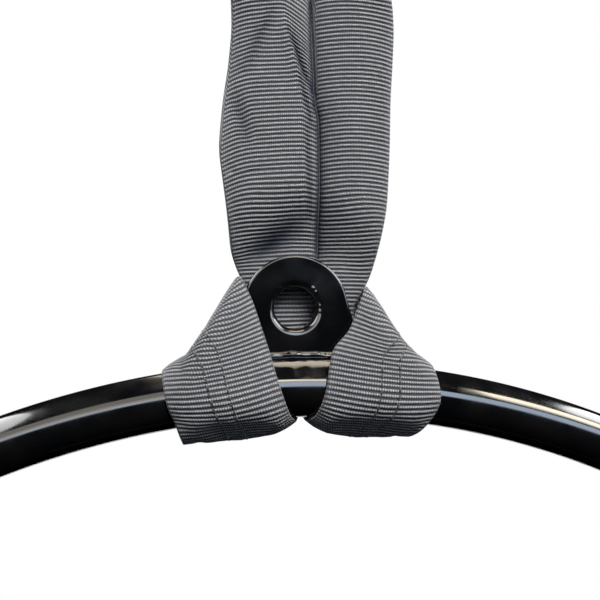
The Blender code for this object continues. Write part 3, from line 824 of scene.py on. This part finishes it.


# Creases in the front of the left leg: x and height of both ends, depth, width, and how far ribs slip. A
# crease that presses in also gets painted shade in the colour
creases = (
    ((-9.0, 172.0), (-21.5, 146.0), 0.9, 3.0, 1.1),
    ((-25.5, 135.0), (-20.5, 114.0), 0.9, 2.6, -1.2),
    ((-1.0, 163.0), (8.5, 138.0), 1.8, 1.5, 0.0),
    ((3.5, 142.0), (9.5, 118.0), 1.5, 1.3, 0.0),
    ((6.4, 122.0), (8.0, 78.0), 1.3, 1.4, 0.0),
    ((-3.0, 168.0), (4.0, 134.0), -0.9, 2.0, 0.6),
    ((4.0, 134.0), (6.0, 72.0), -0.8, 1.8, 0.3),
    ((-22.0, 59.0), (3.0, 77.0), 1.8, 6.5, 0.0),
)
# The lengthwise fold beside the left leg's inner edge: x at heights, and how steeply ribs fall beyond it
inFold = {
    "x": ((60, 78, 96, 116, 133, 155, 175), (8.0, 6.3, 4.2, 3.6, 4.8, 0.0, -4.0)),
    "fall": ((60, 90, 120, 145, 165, 200), (0.12, 0.2, 0.28, 0.6, 0.75, 0.3)),
}
legSplit = {
    "x": 11,  # the left leg is on one side of it and the right leg on the other
    "depth": 1.6,
    "width": 1.7,
    # painted shade: the colour darkens along the split, and more softly on the right leg beside it
    "shade": 1.2,
    "shadeWidth": 1.2,
    "softShade": 0.6,
    "softWidth": (5.0, 7.0),  # above and beside the tab
}


def creaseFields(rows):  # at each place, how deep the creases press in, how far ribs slip, and the painted shade that darkens the colour
    x, z = rows[..., 0], rows[..., 2]
    onLeg = smooth(z, 52, 66) * smooth(z, 250, 200)
    left = onLeg * (x < legSplit["x"])
    depth = 0.35 * np.sin(x * 0.21 + 1.1 * np.sin(z * 0.043)) * np.sin(z * 0.067 + 0.5) * onLeg
    slip = left * 0.07 * np.clip(x + 14, -16, 14) - left * 0.014 * np.square(np.clip(-x - 17, 0, None))
    slip += onLeg * (x > legSplit["x"]) * (0.9 - 0.0032 * np.square(x - 29))
    slip -= left * np.interp(z, *inFold["fall"]) * np.clip(x - np.interp(z, *inFold["x"]), 0, None)
    beyond = x - np.interp(z, innerHeights, leftSide["inner"])
    depth += legSplit["depth"] * onLeg * np.exp(-np.square(beyond / legSplit["width"]))
    # painted shade along the split, and more softly on the right leg beside it
    shade = legSplit["shade"] * onLeg * np.exp(-np.square(beyond / legSplit["shadeWidth"]))
    softWidth = mix(*legSplit["softWidth"], smooth(z, 95, 62))
    shade += legSplit["softShade"] * onLeg * (beyond > 0) * np.exp(-beyond / softWidth)
    for start, stop, press, width, ribSlip in creases:
        way = np.subtract(stop, start)
        place = rows[..., [0, 2]] - start
        share = np.clip(place @ way / (way @ way), 0, 1)
        gap = place - share[..., None] * way
        distance = np.hypot(gap[..., 0], gap[..., 1])
        fade = np.exp(-np.square(distance / width)) * np.sin(np.pi * mix(0.15, 0.85, share)) * left
        depth += press * fade
        slip += ribSlip * fade
        # painted shade in the creases that press in
        shade += max(press, 0) * 0.55 * fade
    return depth, slip, np.clip(shade, 0, 1)


def makeSleeve(name, rows, thick, stands):
    samples = strap["samplesPerRib"]
    spacing = weave["ribPitch"] / samples
    rows, thick = evenRows(rows, thick, spacing, samples)
    ribs = np.cos(math.tau * np.arange(len(rows)) / samples)[:, None] * strap["ribHeight"]
    ribs = ribs * np.minimum(1, 14 * across * (1 - across))  # they fade out at both edges
    normal = outwardNormals(rows)
    middle = sum(strap["seams"]) / 2
    swell = np.exp(-np.square((across - middle) / strap["swellWidth"])) * strap["swell"]
    sink = sum(np.exp(-np.square((across - seam) / strap["seamWidth"])) for seam in strap["seams"])
    outer = rows + normal * (thick / 2 + ribs + swell - sink * strap["seamSink"])[..., None]
    pressed, slip, shade = creaseFields(rows)
    inner = rows - normal * (thick / 2 + ribs - pressed)[..., None]
    inner[..., 2] += slip
    edgeWay = rows[:, -1] - rows[:, 0]
    edgeWay /= np.linalg.norm(edgeWay, axis=1, keepdims=True)
    bulge = edgeWay[:, None] * (strap["edgeThickness"] * 0.4)
    lowEdge, highEdge = rows[:, :1] - bulge, rows[:, -1:] + bulge
    places = np.concatenate([outer, highEdge, inner[:, ::-1], lowEdge, outer[:, :1]], axis=1)
    clear = np.zeros_like(shade)
    shades = np.concatenate([clear, clear[:, :1], shade[:, ::-1], shade[:, :1], clear[:, :1]], axis=1)
    shape = bmesh.new()
    uvLayer = shape.loops.layers.uv.new("strap")
    # this attribute carries the painted shade to the webbing's colour
    shadeLayer = shape.verts.layers.float.new("painted_shade")
    verts = placeGrid(shape, places)
    width = strap["width"]
    back = width + 2 + (1 - across[::-1]) * width
    lap = np.concatenate([across * width, [width + 1], back, [2 * width + 3, 2 * width + 4]])  # mm round it
    columns = len(lap)
    shape.verts.index_update()
    for vert in verts:
        row, column = divmod(vert.index, columns)
        vert[shadeLayer] = shades[row, column]
    for face in shape.faces:
        for loop in face.loops:
            row, column = divmod(loop.vert.index, columns)
            loop[uvLayer].uv = (lap[column] * mm, row * spacing * mm)
    closeUp(shape)
    piece = finishPiece(name, shape, "webbing", stands, sharp=80)
    return piece, outer, normal


core = {"spacing": 4.0, "width": 0.78, "cover": 3.2, "thinnest": 0.25, "thickest": 1.5}


def makeCore(name, rows, thick, stands):
    rows, thick = evenRows(rows, thick, core["spacing"])
    middle = rows.mean(axis=1, keepdims=True)
    rows = middle + (rows - middle) * core["width"]
    inset = np.clip(thick / 2 - core["cover"], core["thinnest"], core["thickest"])[..., None]
    normal = outwardNormals(rows)
    outer, inner = rows + normal * inset, rows - normal * inset
    shape = bmesh.new()
    placeGrid(shape, np.concatenate([outer, inner[:, ::-1], outer[:, :1]], axis=1))
    closeUp(shape)
    return finishPiece(name, shape, "yarn", stands, sharp=80)


stitch = {"pitch": 3.95, "length": 2.4, "width": 1.0, "height": 0.7, "lift": 0.16, "rounding": 0.35}


def makeStitches(name, outer, normal):
    shape = bmesh.new()
    reach = strap["samplesPerRib"] // 2
    size = Matrix.Diagonal((stitch["width"], stitch["length"], stitch["height"], 1))
    for share in strap["seams"]:
        column = int(np.argmin(np.abs(across - share)))
        line = outer[:, column]
        distance = running(line)
        for place in np.arange(stitch["pitch"] / 2, distance[-1] - stitch["pitch"] / 2, stitch["pitch"]):
            i = int(np.searchsorted(distance, place))
            i = min(max(i, reach), len(line) - 1 - reach)
            way = Vector(line[i + reach] - line[i - reach]).normalized()
            middle = Vector(line[i - reach : i + reach + 1].mean(axis=0))
            up = Vector(normal[i, column])
            side = way.cross(up).normalized()
            facing = Matrix((side, way, side.cross(way))).transposed().to_4x4()
            move = Matrix.Translation(middle + up * stitch["lift"]) @ facing @ size
            bmesh.ops.create_cube(shape, size=1, matrix=move)
    roundEdges(shape, shape.edges[:], stitch["height"] * stitch["rounding"], 1)
    return finishPiece(name, shape, "thread", [], sharp=80)


def makeStrap(name, rows, thick, nodes):  # the sleeve, its core and its stitches along the rows, start to end
    sleeve, outer, normal = makeSleeve(name + "_sleeve", rows, thick, [node + "_sleeve" for node in nodes])
    core = makeCore(name + "_core", rows, thick, [node + "_core" for node in nodes])
    thread = makeStitches(name + "_stitches", outer, normal)
    for piece in (sleeve, core, thread):
        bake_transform(piece)


def makeHitch():  # both wraps and the bight behind the legs, which bridges their ends
    left, leftThick = sideRows(leftSide)
    right, rightThick = sideRows(rightSide)
    lead, perSpan = 8, 12
    starts = [(left[-k], leftThick[-k]) for k in (lead, 1)]
    middle = (mix(left[-1], right[-1], 0.5), mix(leftThick[-1], rightThick[-1], 0.5))
    ends = [(right[-k], rightThick[-k]) for k in (1, lead)]
    bridge, bridgeThick = smoothRows([*starts, middle, *ends], perSpan)
    inside = slice(perSpan + 1, -perSpan - 1)
    rows = np.concatenate([left, bridge[inside], right[::-1]])
    thick = np.concatenate([leftThick, bridgeThick[inside], rightThick[::-1]])
    rows, thick = evenRows(rows, thick, 1.0)
    clearOfBar(rows, thick)
    rows, thick = softened(rows, 5), softened(thick, 5)
    nodes = ("left_wrap", "right_wrap", "rear_bight")
    makeStrap("hitch", rows, thick, nodes)


# The legs above the hitch turn a quarter round and meet in the top bight

bight = {
    "eyeRadius": 10,
    "width": 38,
    "thickness": 9.5,
    "legHeights": range(100, 160, 8),
    "turnStart": 165,
    "turnSteps": 10,
    "archSteps": 12,
}
bightRadius = bight["eyeRadius"] + bight["thickness"] / 2
bightCentre = hangDrop - bight["eyeRadius"]


def risingRows(side):
    made = [legRow(side, height) for height in bight["legHeights"]]
    top, thick = legRow(side, bight["turnStart"])
    inner, outer = top[0][0], top[-1][0]
    for i in range(bight["turnSteps"]):
        share = i / bight["turnSteps"]
        ease = float(smooth(share, 0, 1))
        angle = math.radians(90 * ease)
        x = mix((inner + outer) / 2, side["sign"] * bightRadius, ease)
        middle = np.array([x, 0, mix(bight["turnStart"], bightCentre, share)])
        width = mix(abs(outer - inner), bight["width"], ease)
        half = np.array([side["sign"] * math.cos(angle), -math.sin(angle), 0]) * width / 2
        thickHere = mix(thick, padding(bight["thickness"]), ease)
        made.append((straightRow(middle - half, middle + half), thickHere))
    return made


def makeUpper():
    arch = []
    half = np.array([0, -bight["width"] / 2, 0])
    for i in range(bight["archSteps"] + 1):
        angle = math.pi * i / bight["archSteps"]
        middle = np.array([bightRadius * math.cos(angle), 0, bightCentre + bightRadius * math.sin(angle)])
        arch.append((straightRow(middle - half, middle + half), padding(bight["thickness"])))
    rows, thick = smoothRows(risingRows(rightSide) + arch + risingRows(leftSide)[::-1], 6)
    rows, thick = evenRows(rows, thick, 1.0)
    rows, thick = softened(rows, 9), softened(thick, 9)
    nodes = ("left_leg", "right_leg", "top_bight")
    makeStrap("upper", rows, thick, nodes)


# Floor, world and lamps

studio = {
    "ambient": (0.05, 0.057, 0.07),
    "floor": -1.062,
    "floorColour": (0.74, 0.74, 0.74),
    "floorBounce": (0.02, 0.025, 0.035),  # what the floor sends back up to the object
    "near": 1.2,  # the floor fades to white between these distances
    "far": 2.4,
}


def seenRays(shader):  # those of the camera and of reflections
    path = shader.add("ShaderNodeLightPath").outputs
    return path, shader.math("MAXIMUM", path["Is Camera Ray"], path["Is Glossy Ray"])


def flatSheet(halfLength, halfWidth, centre):
    shape = bmesh.new()
    bmesh.ops.create_grid(shape, x_segments=1, y_segments=1, size=1)
    bmesh.ops.scale(shape, vec=(halfLength, halfWidth, 1), verts=shape.verts)
    bmesh.ops.translate(shape, vec=centre, verts=shape.verts)
    return shape


def makeFloor():
    material, shader, principled = newMaterial("floor", {"Roughness": 0.9, "Specular IOR Level": 0.1})
    path, seen = seenRays(shader)
    parts = shader.split(shader.place())
    distance = shader.add("ShaderNodeVectorMath", operation="LENGTH")
    shader.join(shader.pair(parts["X"], parts["Y"]), distance.inputs[0])
    far = shader.ramp(distance.outputs["Value"], studio["near"], studio["far"])
    glow = shader.add("ShaderNodeEmission", {"Color": white})
    fading = shader.add("ShaderNodeMixShader")
    sources = (shader.math("MULTIPLY", far, seen), principled.outputs[0], glow.outputs[0])
    for source, socket in zip(sources, fading.inputs):
        shader.join(source, socket)
    shader.join(fading.outputs[0], material.node_tree.nodes["Material Output"].inputs["Surface"])
    colour = shader.blend(path["Is Diffuse Ray"], studio["floorColour"], studio["floorBounce"])
    shader.join(colour, principled.inputs["Base Color"])
    floor = linked("floor", meshOf("floor", flatSheet(30, 30, (0, 0, studio["floor"])), material))


def makeWorld():
    world = bpy.data.worlds.new("world")
    bpy.context.scene.world = world
    world.use_nodes = True
    shader = Shader(world.node_tree)
    background = world.node_tree.nodes["Background"]
    path, seen = seenRays(shader)
    seen = shader.math("MAXIMUM", seen, path["Is Transmission Ray"])
    shader.join(shader.blend(seen, studio["ambient"], white), background.inputs["Color"])


# Each lamp: its place, the height on the Z axis that it faces, its size, power and colour
lamps = {
    "window": ((0.3, -1.15, 0.92), -0.25, (0.9, 0.7), 64, (1.0, 0.99, 0.98)),
    "fill": ((-0.1, -1.8, 0.25), -0.25, (1.6, 0.6), 4, (0.9, 0.95, 1.0)),
    "rear": ((0.3, 1.4, 0.9), -0.3, (1.4, 1.0), 48, white),
    "left": ((-1.6, 0.7, 0.5), -0.4, (1.0, 1.0), 14, white),
    "right": ((1.6, 0.7, 0.5), -0.4, (1.0, 1.0), 14, white),
}


def makeLamps():
    for name, (place, faces, size, power, colour) in lamps.items():
        data = bpy.data.lights.new(name, "AREA")
        data.shape = "RECTANGLE"
        data.size, data.size_y = size
        data.energy = power
        data.color = colour
        light = linked(name, data)
        light.visible_glossy = False  # reflections show the cards instead
        way = Vector((0, 0, faces)) - Vector(place)
        light.matrix_world = Matrix.Translation(place) @ way.to_track_quat("-Z", "Y").to_matrix().to_4x4()


# Cards that only reflections see, as a photographer sets round gloss black. Each is a strip of a big
# cylinder along X: its radius, x of both ends, the degrees above the horizon where it starts, glows in full
# and stops, its glow at the first two, and its colour
cards = {
    "sky card": (1.9, (-3.5, 3.5), (10, 16, 32), (0, 8), (0.68, 0.81, 1.0)),
    "dim card": (1.843, (-3.5, -0.05), (17, 30, 43), (6, 2.5), (1.0, 0.93, 0.85)),
    "warm card": (1.843, (-0.05, 0.6), (33, 37, 42), (4, 16), (1.0, 0.9, 0.72)),
    "warm card right": (1.843, (1.03, 3.0), (38, 50, 62), (6, 20), (1.0, 0.9, 0.72)),
    "top card": (1.843, (-0.4, 0.7), (58, 76, 140), (4, 8), (1.0, 0.87, 0.7)),
    "top card left": (1.843, (-3.5, -1.1), (40, 60, 130), (3, 9), white),
    "top card right": (1.843, (1.7, 3.5), (62, 80, 130), (3, 12), white),
    "dark card above": (1.9, (-3.5, 3.5), (32, 62, 168), (0, 0), white),
    "dark card below": (1.9, (-3.5, 3.5), (-24, 0, 10), (0, 0), white),
}
cardRoom = {"centre": (0, 0, -0.26), "fade": 0.12, "steps": 24}


def onlyReflected(name, mesh, centre=(0, 0, 0)):
    board = linked(name, mesh)
    board.location = centre
    board.visible_camera = False
    board.visible_diffuse = False
    board.visible_shadow = False
    board.visible_transmission = False


def makeCard(name, radius, span, rise, glow, colour):
    left, right = span
    low, full, high = (math.radians(degrees) for degrees in rise)
    shape = bmesh.new()
    ends = [shape.verts.new((x, -radius, 0)) for x in (left, right)]
    line = shape.edges.new(ends)
    turn(shape, -low, "X")
    sweep = {"cent": (0, 0, 0), "axis": (-1, 0, 0), "angle": high - low, "steps": cardRoom["steps"]}
    bmesh.ops.spin(shape, geom=[*ends, line], **sweep)
    material = bpy.data.materials.new(name)
    material.use_nodes = True
    material.node_tree.nodes.clear()
    shader = Shader(material.node_tree)
    parts = shader.split(shader.place())
    elevation = shader.math("ARCTAN2", parts["Z"], shader.math("MULTIPLY", parts["Y"], -1.0))
    strength = shader.between(shader.ramp(elevation, low, full), *glow)
    fade = shader.ramp(parts["X"], left, left + cardRoom["fade"])
    inputs = {"Color": colour, "Strength": shader.math("MULTIPLY", strength, fade)}
    shining = shader.add("ShaderNodeEmission", inputs).outputs[0]
    shader.add("ShaderNodeOutputMaterial", {"Surface": shining})
    onlyReflected(name, meshOf(name, shape, material), cardRoom["centre"])


def makeFloorCard():  # keeps the pale floor out of the tube's underside
    look = {"Base Color": (0, 0, 0, 1), "Roughness": 1, "Specular IOR Level": 0}
    shape = flatSheet(3.5, 1.45, (0, -0.4, studio["floor"] + 0.02))
    onlyReflected("floor card", meshOf("floor card", shape, newMaterial("black card", look)[0]))


print("Camera and studio")
bpy.context.scene.view_settings.view_transform = "Standard"
makeCamera()
makeWorld()
makeFloor()
makeLamps()
for cardName, card in cards.items():
    makeCard(cardName, *card)
makeFloorCard()

print("Ring, tab and welds")
makeRingTube()
makeTab()
makeWelds()
for node, material in (("ring_closing_weld", "paint"), ("ring_joint_sleeve", "steel")):
    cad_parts[node].data.materials.clear()
    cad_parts[node].data.materials.append(materials[material])

print("Sling")
makeHitch()
makeUpper()

print("Finishing")
